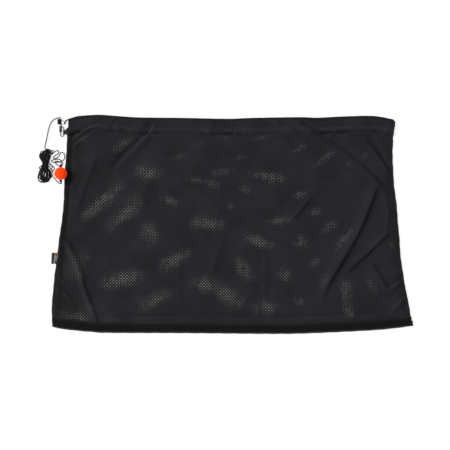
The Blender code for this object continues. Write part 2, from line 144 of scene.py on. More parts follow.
big_loop = [(-0.568, 0.2418, 0.0018), (-0.5605, 0.2375, 0.0018), (-0.5578, 0.23, 0.0035),
            (-0.5577, 0.2225, 0.0035), (-0.5597, 0.2155, 0.0018), (-0.5645, 0.2108, 0.0018),
            (-0.5751, 0.2086, 0.0018), (-0.5862, 0.2065, 0.0018), (-0.5955, 0.2054, 0.0018),
            (-0.6029, 0.2091, 0.006), (-0.606, 0.213, 0.009)]
second_loop = [(-0.601, 0.2142, 0.006), (-0.5955, 0.2156, 0.004), (-0.5881, 0.2174, 0.004),
               (-0.5807, 0.2183, 0.0035), (-0.5733, 0.2163, 0.0018), (-0.5673, 0.21, 0.0045),
               (-0.564, 0.2026, 0.0018), (-0.5652, 0.1966, 0.0018), (-0.5691, 0.1925, 0.0018),
               (-0.5738, 0.1906, 0.0018), (-0.5788, 0.1929, 0.0018), (-0.5844, 0.1994, 0.0018),
               (-0.5899, 0.2045, 0.005), (-0.594, 0.2092, 0.006), (-0.591, 0.2118, 0.005),
               (-0.5862, 0.2105, 0.0048), (-0.5761, 0.2095, 0.005), (-0.57, 0.2062, 0.005),
               (-0.569, 0.202, 0.009), (-0.5698, 0.1985, 0.0165)]
through_ball = [(BALL.x, BALL.y + STOP + 0.0018, BALL.z), (BALL.x, BALL.y + STOP - 0.004, BALL.z),
                (BALL.x, BALL.y + 0.008, BALL.z), (BALL.x, BALL.y - 0.008, BALL.z),
                (BALL.x, BALL.y - STOP + 0.004, BALL.z), (BALL.x, BALL.y - STOP - 0.0018, BALL.z)]
tail = [(-0.5692, 0.1392, 0.0150), (-0.5690, 0.1368, 0.0070), (-0.5740, 0.1362, FLOOR_CORD),
        (-0.5815, 0.1405, FLOOR_CORD), (-0.5878, 0.1478, 0.0022), (-0.5905, 0.1512, 0.0024)]
CORD_STEP = 0.0030                  # spacing of the line's points while the turns are pushed apart
NEIGHBOURS = 3                      # points this near along the cord don't push each other
PACKED = 0.98                       # how near two passes may lie, in cord diameters
EASED, KEPT, SUNK = 0.22, 0.030, 0.00006    # each step: bends eased, drawn lay kept, cord sunk
loose = [*leader, *hank, *top_loops, *left_bight, *small_loop, *first_loop, *big_loop, *second_loop]
cord_line = smooth_line([*loose, *through_ball, *tail], CORD_STEP)
free_from = 36                      # the leader's points before this one stay where they are
free_to = int(np.linalg.norm(cord_line - np.array([BALL.x - 0.0005, 0.1985, 0.0165]),
                             axis=1).argmin()) - 3
laid = cord_line.copy()
is_free = np.zeros(len(cord_line), bool)
is_free[free_from:free_to] = True
is_free &= ~((cord_line[:, 1] > 0.262) | (cord_line[:, 1] < 0.135))
apart = np.abs(np.subtract.outer(np.arange(len(laid)), np.arange(len(laid)))) > NEIGHBOURS
for step in range(160):
    if step % 4 == 0:
        gaps = np.linalg.norm(cord_line[:, None] - cord_line[None], axis=2)
        first, second = np.nonzero(np.triu((gaps < 2 * CORD) & apart))
    between = cord_line[first] - cord_line[second]
    distance = np.maximum(np.linalg.norm(between, axis=1), 1e-6)
    shove = np.maximum(CORD * PACKED - distance, 0) * 0.5
    push = between / distance[:, None] * shove[:, None]
    moved = np.zeros_like(cord_line)
    met = np.zeros(len(cord_line))
    np.add.at(moved, first, push)
    np.add.at(moved, second, -push)
    np.add.at(met, first, shove > 0)
    np.add.at(met, second, shove > 0)
    moved /= np.maximum(met, 1)[:, None] ** 0.5
    calm = (cord_line[:-2] + cord_line[2:]) / 2 - cord_line[1:-1]
    moved[1:-1] += EASED * calm
    moved += KEPT * (laid - cord_line)
    moved[:, 2] -= SUNK
    cord_line[is_free] += moved[is_free]
    for half in (0, 1):             # keep the cord's own length
        a, b = cord_line[half:-1:2], cord_line[half + 1::2]
        a, b = a[:len(b)], b[:len(a)]
        link = b - a
        size = np.linalg.norm(link, axis=1)
        fix = link * (0.5 * (1 - CORD_STEP / np.maximum(size, 1e-9)))[:, None]
        at_a = np.arange(len(a)) * 2 + half
        cord_line[at_a] += fix * is_free[at_a][:, None]
        cord_line[at_a + 1] -= fix * is_free[at_a + 1][:, None]
    cord_line[:, 2] = np.maximum(cord_line[:, 2], FLOOR_CORD)
for step in range(5):                # round off the tightest bends
    calm = (cord_line[:-2] + cord_line[2:]) / 2 - cord_line[1:-1]
    cord_line[1:-1] += 0.5 * calm * is_free[1:-1, None]
cord_line = smooth_line(cord_line[::2], 0.0022)


def cord_mesh(name, line, diameter, sides=10):
    """A round cord along a line, with its own length and turn as its UV map."""
    curve = bpy.data.curves.new(name, "CURVE")
    curve.dimensions = "3D"
    curve.bevel_depth = diameter / 2 / math.cos(math.pi / sides)    # its flats touch the circle
    curve.bevel_resolution = sides // 2 - 2
    curve.use_fill_caps = True
    spline = curve.splines.new("POLY")
    spline.points.add(len(line) - 1)
    for point, place in zip(spline.points, line):
        point.co = (*place, 1)
    soft = bpy.data.objects.new(name, curve)
    mesh = bpy.data.meshes.new_from_object(soft)
    bpy.data.objects.remove(soft)
    mesh.name = name
    length = float(np.linalg.norm(np.diff(line, axis=0), axis=1).sum())
    for layer in mesh.uv_layers:
        layer.name = "lay"
        for corner in layer.data:
            corner.uv = (corner.uv[0] * length, corner.uv[1])
    bm = bmesh.new()
    bm.from_mesh(mesh)
    bmesh.ops.remove_doubles(bm, verts=bm.verts, dist=1e-6)
    bm.to_mesh(mesh)
    bm.free()
    mesh.polygons.foreach_set("use_smooth", [True] * len(mesh.polygons))
    return placed(name, mesh)


class Tone:
    """A number or colour inside a finish, so that its maths reads as plain arithmetic."""

    def __init__(self, finish, socket):
        self.finish, self.socket = finish, socket

    def math(self, operation, *values):
        return self.finish.node("Math", {"operation": operation},
                                dict(enumerate((self, *values))))

    def __add__(self, other):
        return self.math("ADD", other)

    def __sub__(self, other):
        return self.math("SUBTRACT", other)

    def __mul__(self, other):
        return self.math("MULTIPLY", other)

    def __rsub__(self, other):
        return self.finish.node("Math", {"operation": "SUBTRACT"}, {0: other, 1: self})

    def __pow__(self, other):
        return self.math("POWER", other)

    __radd__, __rmul__ = __add__, __mul__

    def step(self, low, high, start=0.0, end=1.0):
        """Rises smoothly from start at low to end at high."""
        return self.finish.node("MapRange", {"interpolation_type": "SMOOTHSTEP"},
                                {0: self, 1: low, 2: high, 3: start, 4: end})

    def wave(self, period):
        """A cosine of that period, from -1 to 1."""
        return (self * (2 * math.pi / period)).math("COSINE")

    def saw(self):
        """How far the number is from the nearest whole one, from -0.5 to 0.5."""
        return (self + 0.5).math("FRACT") - 0.5


class Finish:
    """A material under construction: its shader, and the one way to add a node."""

    def __init__(self, name, **fixed):
        self.material = bpy.data.materials.new(name)
        self.material.use_nodes = True
        self.tree = self.material.node_tree
        self.shader = self.tree.nodes["Principled BSDF"]
        for socket, value in fixed.items():
            self.shader.inputs[socket.replace("_", " ")].default_value = value

    def put(self, socket, value):
        if isinstance(value, Tone):
            self.tree.links.new(value.socket, socket)
        elif isinstance(value, tuple) and len(value) == 3 and socket.type == "RGBA":
            socket.default_value = (*value, 1.0)
        else:
            socket.default_value = value

    def node(self, kind, settings=None, inputs=None, out=0):
        made = self.tree.nodes.new("ShaderNode" + kind)
        for name, value in (settings or {}).items():
            setattr(made, name, value)
        for name, value in (inputs or {}).items():
            self.put(made.inputs[name], value)
        return Tone(self, made.outputs[out])

    def where(self):
        return self.node("TexCoord", out="Object")

    def first_two(self, place):
        """The X and Y of a place, as numbers."""
        parts = self.node("SeparateXYZ", None, {0: place})
        return parts, Tone(self, parts.socket.node.outputs[1])

    def lay(self, name="lay"):
        """The two coordinates of the piece's own UV map, as numbers."""
        return self.first_two(self.node("UVMap", {"uv_map": name}))

    def noise(self, scale, detail=3.0):
        return self.node("TexNoise", None, {"Vector": self.where(), "Scale": scale,
                                            "Detail": detail, "Roughness": 0.55})

    def mix(self, share, low, high):
        return self.node("Mix", {"data_type": "RGBA"}, {0: share, 6: low, 7: high}, out=2)

    def bump(self, height, distance):
        self.give(Normal=self.node("Bump", None, {"Height": height, "Distance": distance,
                                                  "Strength": 1.0}))

    def give(self, **sockets):
        for socket, value in sockets.items():
            self.put(self.shader.inputs[socket.replace("_", " ")], value)


def braided(name, diameter, strands, pitch):
    """Braided black cord: crossing diagonal strands, with a little fluff."""
    finish = Finish(name, Sheen_Weight=0.05, Sheen_Roughness=0.5, Specular_IOR_Level=0.25)
    along, turn = finish.lay()
    one = (along * (1 / pitch) + turn * strands).wave(1.0)
    other = (along * (1 / pitch) - turn * strands).wave(1.0)
    strand = one.math("MAXIMUM", other)
    fluff = finish.noise(900.0, detail=4.0)
    wear = finish.noise(60.0)
    shade = strand.step(-0.6, 1.0, 0.1, 0.75) + wear * 0.25
    finish.give(Base_Color=finish.mix(shade, (0.003, 0.003, 0.0034), (0.016, 0.016, 0.018)),
                Roughness=fluff.step(0.3, 0.7, 0.62, 0.85))
    finish.bump(strand * 0.5 + fluff * 0.35, 0.1 * diameter)
    return finish.material


black_cord = braided("black_cord", CORD, 4, 0.0042)
cord = cord_mesh("retention_cord", cord_line, CORD)
cord.data.materials.append(black_cord)
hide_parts("cord_leader", "cord_hank", "cord_loops", "ball_cord")
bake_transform(cord)

# --- Knots on the cord -----------------------------------------------------------------------
# Tied in the same cord and drawn tight: a hitch round the swivel eye, and a wound stop knot on
# each side of the float ball.


def coil(centre, radius, pitch, turns, steps=18, wide=1.0):
    """The line of cord wound round a line along Y through a point."""
    marks = np.linspace(0, 1, int(turns * steps) + 1)
    angle = 2 * math.pi * turns * marks
    return np.column_stack([centre[0] + wide * radius * np.cos(angle),
                            centre[1] + pitch * turns * (marks - 0.5),
                            centre[2] + radius * np.sin(angle)])


def stop_knot(name, y, node):
    """Two and a half tight turns, with the end tucked back under them."""
    wound = coil((BALL.x, y, BALL.z), 0.0030, 0.0022, 2.4)
    tuck_in = [wound[0] + np.array([-0.0016, -0.0010, -0.0008]), *wound,
               wound[-1] + np.array([0.0012, 0.0010, -0.0010])]
    knot = cord_mesh(name, smooth_line(tuck_in, 0.0009), CORD)
    knot.data.materials.append(black_cord)
    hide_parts(node)
    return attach(knot, "bag")


upper_knot = stop_knot("ball_knot_upper", BALL.y + STOP, "upper_knot")
lower_knot = stop_knot("ball_knot_lower", BALL.y - STOP, "lower_knot")

EYE_Y, EYE_RADIUS = 0.3405, 0.0085
wound = coil((SNAP_X - EYE_RADIUS * 0.42, EYE_Y + 0.0010, SNAP_Z), 0.0030, 0.0029, 5.7, steps=16,
             wide=1.95)
hitch = [(SNAP_X - 0.0018, EYE_Y + EYE_RADIUS + 0.0062, SNAP_Z - 0.0012),
         (SNAP_X - 0.0006, EYE_Y + EYE_RADIUS + 0.0030, SNAP_Z + 0.0026),
         (SNAP_X - 0.0012, EYE_Y + EYE_RADIUS - 0.0022, SNAP_Z + 0.0030), *wound[::-1],
         (SNAP_X - 0.0020, EYE_Y + EYE_RADIUS + 0.0040, SNAP_Z + 0.0012)]
eye_hitch = cord_mesh("eye_hitch", smooth_line(hitch, 0.0009), 0.0028)
eye_hitch.data.materials.append(black_cord)
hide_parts("eye_knot")
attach(eye_hitch, "swivel_eye")

# --- Ferrule ---------------------------------------------------------------------------------
# A short sleeve of thin copper tube, which keeps the cord's cut end from fraying.  It is pushed
# on and squeezed, which leaves two grooves round it.


def turned(name, profile, start, direction, steps):
    """A solid of revolution: (distance along, radius) pairs spun about a line."""
    direction = Vector(direction).normalized()
    side = direction.orthogonal().normalized()
    start = Vector(start)
    bm = bmesh.new()
    ring = [bm.verts.new(start + direction * along + side * radius)
            for along, radius in profile]
    edges = [bm.edges.new(pair) for pair in zip(ring, ring[1:])]
    bmesh.ops.spin(bm, geom=[*ring, *edges], cent=start, axis=direction, angle=2 * math.pi,
                   steps=steps, use_merge=True, use_duplicate=False)
    bmesh.ops.remove_doubles(bm, verts=bm.verts, dist=2e-6)
    bmesh.ops.recalc_face_normals(bm, faces=bm.faces)
    for face in bm.faces:
        face.smooth = True
    for edge in bm.edges:
        if len(edge.link_faces) == 2 and edge.calc_face_angle() > 0.7:
            edge.smooth = False
    mesh = bpy.data.meshes.new(name)
    bm.to_mesh(mesh)
    bm.free()
    return placed(name, mesh)


sleeve_start, sleeve_end = Vector((-0.5885, 0.1487, 0.0024)), Vector((-0.5965, 0.1590, 0.0024))
sleeve = (sleeve_end - sleeve_start).length
ferrule = turned("ferrule", [(0.0, 0.0), (0.0, 0.0017), (0.0003, 0.0021), (0.0024, 0.0021),
                             (0.0029, 0.0018), (0.0037, 0.0018), (0.0042, 0.0021),
                             (sleeve - 0.0042, 0.0021), (sleeve - 0.0037, 0.0018),
                             (sleeve - 0.0029, 0.0018), (sleeve - 0.0024, 0.0021),
                             (sleeve - 0.0004, 0.0020), (sleeve, 0.0016), (sleeve, 0.0)],
                 sleeve_start, sleeve_end - sleeve_start, steps=40)
copper = Finish("copper_sleeve", Metallic=1.0)
tarnish = copper.noise(700.0, detail=5.0)
copper.give(Base_Color=copper.mix(tarnish.step(0.35, 0.7), (0.62, 0.30, 0.14),
                                  (0.26, 0.12, 0.06)),
            Roughness=tarnish.step(0.3, 0.7, 0.28, 0.55))
copper.bump(tarnish, 0.00006)
ferrule.data.materials.append(copper.material)
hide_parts("end_ferrule")
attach(ferrule, "bag")

# --- Float ball ------------------------------------------------------------------------------
# A moulded ball of closed-cell foam with a skin, bored through along Y for the cord.  It is
# given a painted glow: the foam emits a little orange light, though it is no lamp.
BORE = 0.0021
mouth = math.asin((BORE + 0.0006) / BALL_RADIUS)
ball_profile = [(BALL_RADIUS * -math.cos(a), BALL_RADIUS * math.sin(a))
                for a in np.linspace(mouth, math.pi - mouth, 49)]
lip = BALL_RADIUS * math.cos(mouth)
bore_wall = [(lip - 0.0006, BORE), (lip * 0.5, BORE), (0.0, BORE), (-lip * 0.5, BORE),
             (-lip + 0.0006, BORE), ball_profile[0]]
ball = turned("float_skin", [*ball_profile, *bore_wall], BALL, (0, 1, 0), steps=72)
# painted glow: a little orange emission makes the ball brighter than its lighting alone
foam = Finish("orange_foam", Specular_IOR_Level=0.12, Emission_Strength=0.47)
skin = foam.noise(420.0, detail=4.0)
cloud = foam.noise(45.0)
pore = foam.node("TexVoronoi", {"feature": "F1"}, {"Vector": foam.where(), "Scale": 900.0})
foam.give(Base_Color=foam.mix(cloud.step(0.3, 0.7), (0.95, 0.052, 0.001), (1.00, 0.068, 0.002)),
          Emission_Color=(1.0, 0.050, 0.001),
          Roughness=skin.step(0.3, 0.7, 0.42, 0.58))
foam.bump(skin * 0.6 + pore.step(0.0, 0.5) * 0.6, 0.00012)
ball.data.materials.append(foam.material)
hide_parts("float_ball")
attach(ball, "float_ball")

# --- Floor and light -------------------------------------------------------------------------
# A plain white table that glows, with a painted shadow under the sack where its glow is
# dimmed to grey, a soft sun low on the left with a weak one opposite, and a pale room.
bm = bmesh.new()
bmesh.ops.create_grid(bm, x_segments=4, y_segments=4, size=12.0)
bmesh.ops.translate(bm, verts=bm.verts, vec=(0, 0, -0.0002))
table = placed("table", bpy.data.meshes.new("table"))
bm.to_mesh(table.data)
bm.free()
paper = Finish("table", Roughness=0.9, Specular_IOR_Level=0.1, Emission_Strength=0.815)
spot, spot_y = paper.first_two(paper.where())
LEAN = 0.078                        # how far the sack's sides lean out, for each metre down
# painted shadow: the floor glows white beyond the sack and only grey beneath it
beyond_x = ((spot + 0.012).math("ABSOLUTE") + (spot_y - 0.35) * LEAN).step(0.500, 0.530)
beyond_y = spot_y.math("ABSOLUTE").step(0.29, 0.345)
outside_painted_shadow = beyond_x.math("MAXIMUM", beyond_y)
paper.give(Base_Color=(0.26, 0.26, 0.26),
           Emission_Color=paper.mix(outside_painted_shadow, (0.27, 0.27, 0.27), (1.0, 1.0, 1.0)))
table.data.materials.append(paper.material)
room = bpy.data.worlds.new("room")
room.use_nodes = True
room.node_tree.nodes["Background"].inputs["Color"].default_value = (1, 1, 1, 1)
room.node_tree.nodes["Background"].inputs["Strength"].default_value = 0.20
bpy.context.scene.world = room
for place, spread, power in (((-1.9, 0.7, 1.5), 0.60, 2.60), ((1.6, -1.0, 2.6), 1.2, 0.20)):
    lamp = placed("lamp", bpy.data.lights.new("lamp", "SUN"))
    lamp.data.angle, lamp.data.energy = spread, power
    lamp.location = place
    lamp.rotation_euler = Vector(place).to_track_quat("Z", "Y").to_euler()
bpy.context.scene.view_settings.view_transform = "Standard"

# --- Cloth of the sack -----------------------------------------------------------------------
# Knitted black polyester mesh with small round holes.  Two panels, about 1.20 m by 0.72 m, lie
# one on the other and are creased from having been folded.
TOP_EDGE = [(-0.5475, 0.350), (-0.520, 0.3585), (-0.493, 0.362), (-0.440, 0.3645),
            (-0.387, 0.3605), (-0.307, 0.3555), (-0.170, 0.354), (-0.014, 0.351),
            (0.066, 0.354), (0.226, 0.3565), (0.279, 0.3545), (0.359, 0.3585),
            (0.452, 0.361), (0.492, 0.3575), (0.519, 0.352), (0.532, 0.3495), (0.540, 0.344)]
BOTTOM_EDGE = [(-0.6014, -0.339), (-0.577, -0.3465), (-0.520, -0.3535), (-0.467, -0.358),
               (-0.413, -0.361), (-0.147, -0.362), (0.146, -0.3645), (0.279, -0.3615),
               (0.439, -0.354), (0.519, -0.348), (0.6014, -0.3375)]
LEFT_EDGE = [(-0.5475, 0.350), (-0.552, 0.273), (-0.5555, 0.213), (-0.561, 0.133),
             (-0.562, 0.073), (-0.569, 0.013), (-0.577, -0.047), (-0.582, -0.087),
             (-0.592, -0.167), (-0.5985, -0.227), (-0.6014, -0.267), (-0.6014, -0.339)]
RIGHT_EDGE = [(0.532, 0.3495), (0.5385, 0.344), (0.5415, 0.335), (0.536, 0.303),
              (0.533, 0.213), (0.538, 0.133), (0.547, 0.053), (0.5535, -0.027),
              (0.560, -0.107), (0.571, -0.187), (0.5865, -0.267), (0.592, -0.306),
              (0.6014, -0.3375)]
HEM = 0.053                         # depth of the casing round the mouth
TAPE = 0.0050                       # width of the tape round the bottom's raw edge
BAND = 0.032                        # depth of the doubled band above it
FRONT_LEVEL = 0.0090                # the front casing's lowest cloth
LYING = 0.0082                      # the front panel's usual height


def edge(points, along):
    line = smooth_line([(*p, 0.0) for p in points], 0.012)
    line = line[np.argsort(line[:, along])]
    return lambda value: np.interp(value, line[:, along], line[:, 1 - along])


top_y, bottom_y = edge(TOP_EDGE, 0), edge(BOTTOM_EDGE, 0)
left_x, right_x = edge(LEFT_EDGE, 1), edge(RIGHT_EDGE, 1)

# the creases: a line, height (below zero for a groove), and width on its left and on its right
CREASES = [
    ([(-0.2584, 0.3545), (-0.27, 0.33), (-0.32, 0.27), (-0.37, 0.22),
      (-0.4016, 0.1813)], -.0052, .007, .016),
    ([(-0.25, 0.348), (-0.262, 0.32), (-0.31, 0.262), (-0.36, 0.213)], .0022, .016, .006),
    ([(-0.564, -0.044), (-0.536, -0.1), (-0.5084, -0.163), (-0.4871, -0.2372),
      (-0.4448, -0.338)], .0066, .011, .012),
    ([(-0.55, -0.05), (-0.512, -0.13), (-0.49, -0.185)], .0028, .008, .009),
    ([(-0.536, 0.305), (-0.54, 0.2), (-0.545, 0.1), (-0.552, 0.0),
      (-0.56, -0.05)], -.0044, .008, .014),
    ([(-0.4458, 0.248), (-0.482, 0.15), (-0.5249, 0.0315)], .0024, .01, .018),
    ([(0.205, 0.344), (0.2823, 0.29), (0.3469, 0.256), (0.398, 0.216), (0.4525, 0.17),
      (0.493, 0.125), (0.524, 0.081)], .005, .009, .012),
    ([(0.225, 0.35), (0.275, 0.318), (0.325, 0.289)], -.0026, .007, .009),
    ([(0.125, 0.348), (0.175, 0.324), (0.225, 0.285)], .0024, .007, .01),
    ([(0.454, 0.2945), (0.485, 0.255), (0.5075, 0.2145), (0.536, 0.175)], -.0046, .007, .012),
    ([(0.428, 0.288), (0.479, 0.232), (0.528, 0.16)], .003, .007, .009),
    ([(0.484, 0.146), (0.4325, 0.0065), (0.384, -0.085), (0.3243, -0.185),
      (0.292, -0.26)], .0066, .009, .022),
    ([(0.525, -0.02), (0.478, -0.065), (0.42, -0.12), (0.37, -0.165)], .0048, .008, .014),
    ([(0.4575, -0.127), (0.487, -0.171), (0.5158, -0.215)], .0044, .008, .01),
    ([(0.524, -0.22), (0.545, -0.205), (0.568, -0.185)], .0036, .008, .007),
    ([(0.53, -0.29), (0.55, -0.268), (0.576, -0.242)], .0038, .008, .009),
    ([(0.5, 0.11), (0.52, 0.04), (0.506, -0.02)], .0028, .007, .01),
    ([(0.064, 0.348), (0.1079, 0.325), (0.1994, 0.266)], .0032, .008, .012),
    ([(-0.58, -0.17), (-0.556, -0.192)], .0032, .006, .008),
    ([(-0.588, -0.215), (-0.55, -0.23), (-0.53, -0.26)], .0032, .006, .008),
    ([(-0.1752, -0.0684), (-0.1752, -0.2932)], .0012, .01, .01),
    ([(0.1079, -0.0684), (0.1079, -0.2932)], .0014, .01, .01),
    ([(-0.0254, -0.0351), (-0.0753, -0.1683)], .0016, .012, .012),
    ([(0.26, 0.09), (0.2, 0.02)], .0024, .008, .014),
    ([(-0.4, 0.1838), (-0.32, 0.11), (-0.28, 0.07)], .0018, .016, .012),
    ([(-0.543, 0.2955), (-0.526, 0.3105), (-0.475, 0.3295)], -.0038, .006, .007),
    ([(-0.5367, 0.2745), (-0.505, 0.302), (-0.475, 0.321), (-0.43, 0.334)], .0034, .006, .007),
    ([(-0.5388, 0.321), (-0.5115, 0.3445), (-0.49, 0.354)], -.0034, .006, .007),
    ([(-0.53, 0.255), (-0.495, 0.285), (-0.47, 0.295)], .003, .007, .007),
    ([(-0.475, 0.326), (-0.418, 0.349)], -.0036, .007, .008),
    ([(-0.41, 0.32), (-0.37, 0.352)], -.0026, .006, .008),
    ([(0.24, 0.344), (0.3, 0.338), (0.35, 0.33)], -.0022, .006, .008)]
crease_lines = [(smooth_line([(*p, 0.0) for p in line], 0.035)[:, :2], high, left, right)
                for line, high, left, right in CREASES]
CREASE_HEIGHT, CREASE_WIDTH = 1.5, 0.78     # what those heights and widths are multiplied by

# where the holes of the two layers lie in line: two ends, half width, share
IN_LINE = [
    (-0.3916, 0.2479, -0.3167, 0.2937, 0.009, 0.5), (-0.504, 0.2812, -0.4791, 0.2896, 0.008, 0.4),
    (-0.1419, 0.2771, -0.0836, 0.2646, 0.007, 0.5), (-0.0586, 0.2979, -0.0004, 0.2812, 0.007, 0.5),
    (0.0662, 0.2812, 0.1328, 0.3021, 0.007, 0.7), (-0.2085, 0.2188, -0.1585, 0.2271, 0.007, 0.5),
    (-0.0004, 0.2213, 0.0579, 0.2246, 0.006, 0.5), (0.1911, 0.2355, 0.2577, 0.2729, 0.009, 0.75),
    (0.2744, 0.1938, 0.3451, 0.2479, 0.008, 0.8), (0.3701, 0.1938, 0.4034, 0.2105, 0.008, 0.65),
    (0.4242, 0.2146, 0.4575, 0.2438, 0.008, 0.78), (-0.3126, 0.1772, -0.2501, 0.1689, 0.011, 0.85),
    (-0.067, 0.173, -0.0004, 0.1772, 0.007, 0.75), (-0.1419, 0.148, -0.0919, 0.1439, 0.008, 0.75),
    (-0.0919, 0.1439, -0.042, 0.1297, 0.007, 0.7), (0.0662, 0.1689, 0.1744, 0.1522, 0.01, 0.95),
    (-0.4874, 0.0315, -0.3792, 0.1231, 0.01, 0.9), (-0.4, -0.0018, -0.3167, 0.0731, 0.012, 0.9),
    (-0.2335, 0.0856, -0.1752, 0.069, 0.01, 0.75), (0.0204, 0.1272, 0.0704, 0.1064, 0.009, 0.65),
    (-0.0212, 0.0648, 0.008, 0.0565, 0.01, 0.75), (0.1994, 0.0898, 0.2494, 0.1064, 0.009, 0.9),
    (0.2535, 0.0357, 0.291, 0.0481, 0.01, 0.92), (-0.2751, -0.0101, -0.2709, -0.0434, 0.016, 0.85),
    (-0.1252, 0.0065, -0.0337, -0.0018, 0.012, 0.95), (0.112, 0.0107, 0.1911, 0.0148, 0.007, 0.88),
    (0.0454, -0.0393, 0.1245, -0.0726, 0.012, 1.0), (0.2119, -0.0518, 0.2369, -0.0584, 0.015, 0.95),
    (0.2993, -0.0268, 0.3493, 0.0148, 0.01, 0.8), (0.3409, -0.0934, 0.3992, -0.0101, 0.009, 0.9),
    (-0.2335, -0.135, -0.1544, -0.1017, 0.013, 0.9), (0.0163, -0.1225, 0.0537, -0.1683, 0.013, 0.95),
    (0.2577, -0.1392, 0.291, -0.1142, 0.01, 0.88), (-0.4166, -0.1933, -0.3084, -0.1683, 0.015, 0.95),
    (0.1578, -0.1641, 0.1953, -0.1766, 0.014, 1.0), (0.3701, -0.1766, 0.3842, -0.2515, 0.014, 1.0),
    (0.3842, -0.2515, 0.3909, -0.3223, 0.014, 1.0), (0.4533, -0.1766, 0.4783, -0.2224, 0.012, 0.92),
    (-0.1211, -0.1974, -0.0628, -0.2058, 0.016, 1.0), (-0.0628, -0.2058, 0.0163, -0.2599, 0.016, 1.0),
    (-0.2917, -0.2682, -0.2251, -0.2349, 0.012, 0.9), (0.0912, -0.2724, 0.1411, -0.2682, 0.014, 0.95),
    (0.2161, -0.2515, 0.2286, -0.264, 0.012, 0.92), (-0.529, -0.3057, -0.4832, -0.314, 0.009, 0.4),
    (-0.5082, -0.1184, -0.4666, -0.1017, 0.009, 0.4), (0.4991, 0.019, 0.5324, 0.0082, 0.009, 0.6),
    (0.295, -0.205, 0.32, -0.163, 0.01, 0.85), (0.523, -0.085, 0.535, -0.045, 0.01, 0.6)]
PATCH_FADE = 1.9                    # a patch fades out over this many half widths


def ease(value, low, high):
    t = np.clip((value - low) / (high - low), 0, 1)
    return t * t * (3 - 2 * t)


def to_segment(x, y, a, b):
    """Distance from a segment, side of it, and share of the way along it."""
    a, b = np.array(a), np.array(b)
    d = b - a
    t = ((x - a[0]) * d[0] + (y - a[1]) * d[1]) / (d @ d)
    held = np.clip(t, 0, 1)
    off_x, off_y = x - a[0] - held * d[0], y - a[1] - held * d[1]
    return np.hypot(off_x, off_y), np.sign(d[0] * off_y - d[1] * off_x), t


def crumple(x, y, scale, seed, stretch=1.0, turn=0.0):
    """Smooth noise over the cloth, drawn out along a direction."""
    c, s = math.cos(turn), math.sin(turn)
    u, v = (x * c + y * s) / (scale * stretch), (-x * s + y * c) / scale
    flat_u, flat_v = np.ravel(u), np.ravel(v)
    read = [noise.noise(Vector((float(p), float(q), seed))) for p, q in zip(flat_u, flat_v)]
    return np.array(read).reshape(np.shape(u))


def in_line(x, y):
    """How far the two layers' holes lie in line, from 0 to 1."""
    share = np.zeros_like(x)
    for from_x, from_y, to_x, to_y, half, most in IN_LINE:
        away, _, t = to_segment(x, y, (from_x, from_y), (to_x, to_y))
        ends = 0.5 + 0.5 * np.exp(-((np.clip(t, 0, 1) - 0.5) / 0.38) ** 2)
        share = np.maximum(share, most * ends * np.exp(-(away / (PATCH_FADE * half)) ** 2))
    drift = 0.22 + 0.30 * crumple(x, y, 0.045, 7.7, 1.6, 0.5)
    return np.clip(share * (1 + 0.55 * crumple(x, y, 0.014, 6.1)) + drift * (1 - share), 0, 1)


def front_height(x, y):
    """Height of the front cloth above the table."""
    z = LYING + 0.0032 * crumple(x, y, 0.16, 1.7) + 0.0022 * crumple(x, y, 0.060, 5.1, 2.2, 0.7)
    z += 0.0013 * crumple(x, y, 0.026, 9.3, 1.8, -0.8)
    ridge = 1 - np.abs(crumple(x, y, 0.075, 3.3, 2.6, 0.95)) * 2.6
    z += 0.0016 * np.maximum(ridge, 0) ** 3
    for line, high, left, right in crease_lines:
        total = len(line) - 1
        best, side, along = np.full_like(x, 9.0), np.zeros_like(x), np.zeros_like(x)
        for k, (a, b) in enumerate(zip(line, line[1:])):
            away, which, t = to_segment(x, y, a, b)
            nearer = away < best
            best, side = np.where(nearer, away, best), np.where(nearer, which, side)
            along = np.where(nearer, (k + t) / total, along)
        width = CREASE_WIDTH * np.where(side > 0, left, right)
        taper = ease(along, -0.06, 0.18) * ease(1 - along, -0.06, 0.22)
        z += CREASE_HEIGHT * high * taper * np.exp(-(best / width) ** 2)
    low = y - bottom_y(x)           # a soft fold above the bottom band, with a groove behind it
    z += 0.0022 * np.exp(-((low - 0.044) / 0.009) ** 2)
    z -= 0.0040 * np.exp(-((low - 0.0585) / 0.0034) ** 2) * ease(x, -0.42, -0.36) \
        * ease(-x, -0.50, -0.44)
    down = top_y(x) - y             # ruckles below the casing's stitching
    ruck = 0.6 + 0.5 * np.sin(x * 75 + 2.2 * np.sin(x * 21))
    z += 0.0014 * ruck * np.exp(-((down - 0.060) / 0.006) ** 2)
    # the cloth comes down to the back panel at the side seams and at the bottom
    side_gap = np.minimum(x - left_x(y), right_x(y) - x)
    z = np.maximum(z, 0.0030)
    z = 0.0026 + (z - 0.0026) * ease(side_gap, -0.004, 0.030)
    return 0.0036 + (z - 0.0036) * ease(low, 0.002, 0.036)


def cloth(name, across, up, place, normal_up=True):
    """A sheet made from a grid; place turns grid coordinates into points and cut lines."""
    bm = bmesh.new()
    bmesh.ops.create_grid(bm, x_segments=across, y_segments=up, size=0.5)
    if not normal_up:
        bmesh.ops.reverse_faces(bm, faces=bm.faces)
    mesh = bpy.data.meshes.new(name)
    bm.to_mesh(mesh)
    bm.free()
    grid = np.array([v.co for v in mesh.vertices]) + 0.5
    points, cut = place(grid[:, 0], grid[:, 1])
    mesh.vertices.foreach_set("co", np.column_stack(points).astype(np.float32).ravel())
    layer = mesh.uv_layers.new(name="cut")
    corner = np.zeros(len(mesh.loops), np.int32)
    mesh.loops.foreach_get("vertex_index", corner)
    layer.data.foreach_set("uv", np.column_stack(cut)[corner].astype(np.float32).ravel())
    mesh.polygons.foreach_set("use_smooth", [True] * len(mesh.polygons))
    mesh.update()
    return placed(name, mesh)


HOLE_ACROSS, HOLE_UP = 0.0100, 0.0106   # one cell of the mesh, with a hole at each corner and in
HOLE = 0.0018                           # its middle


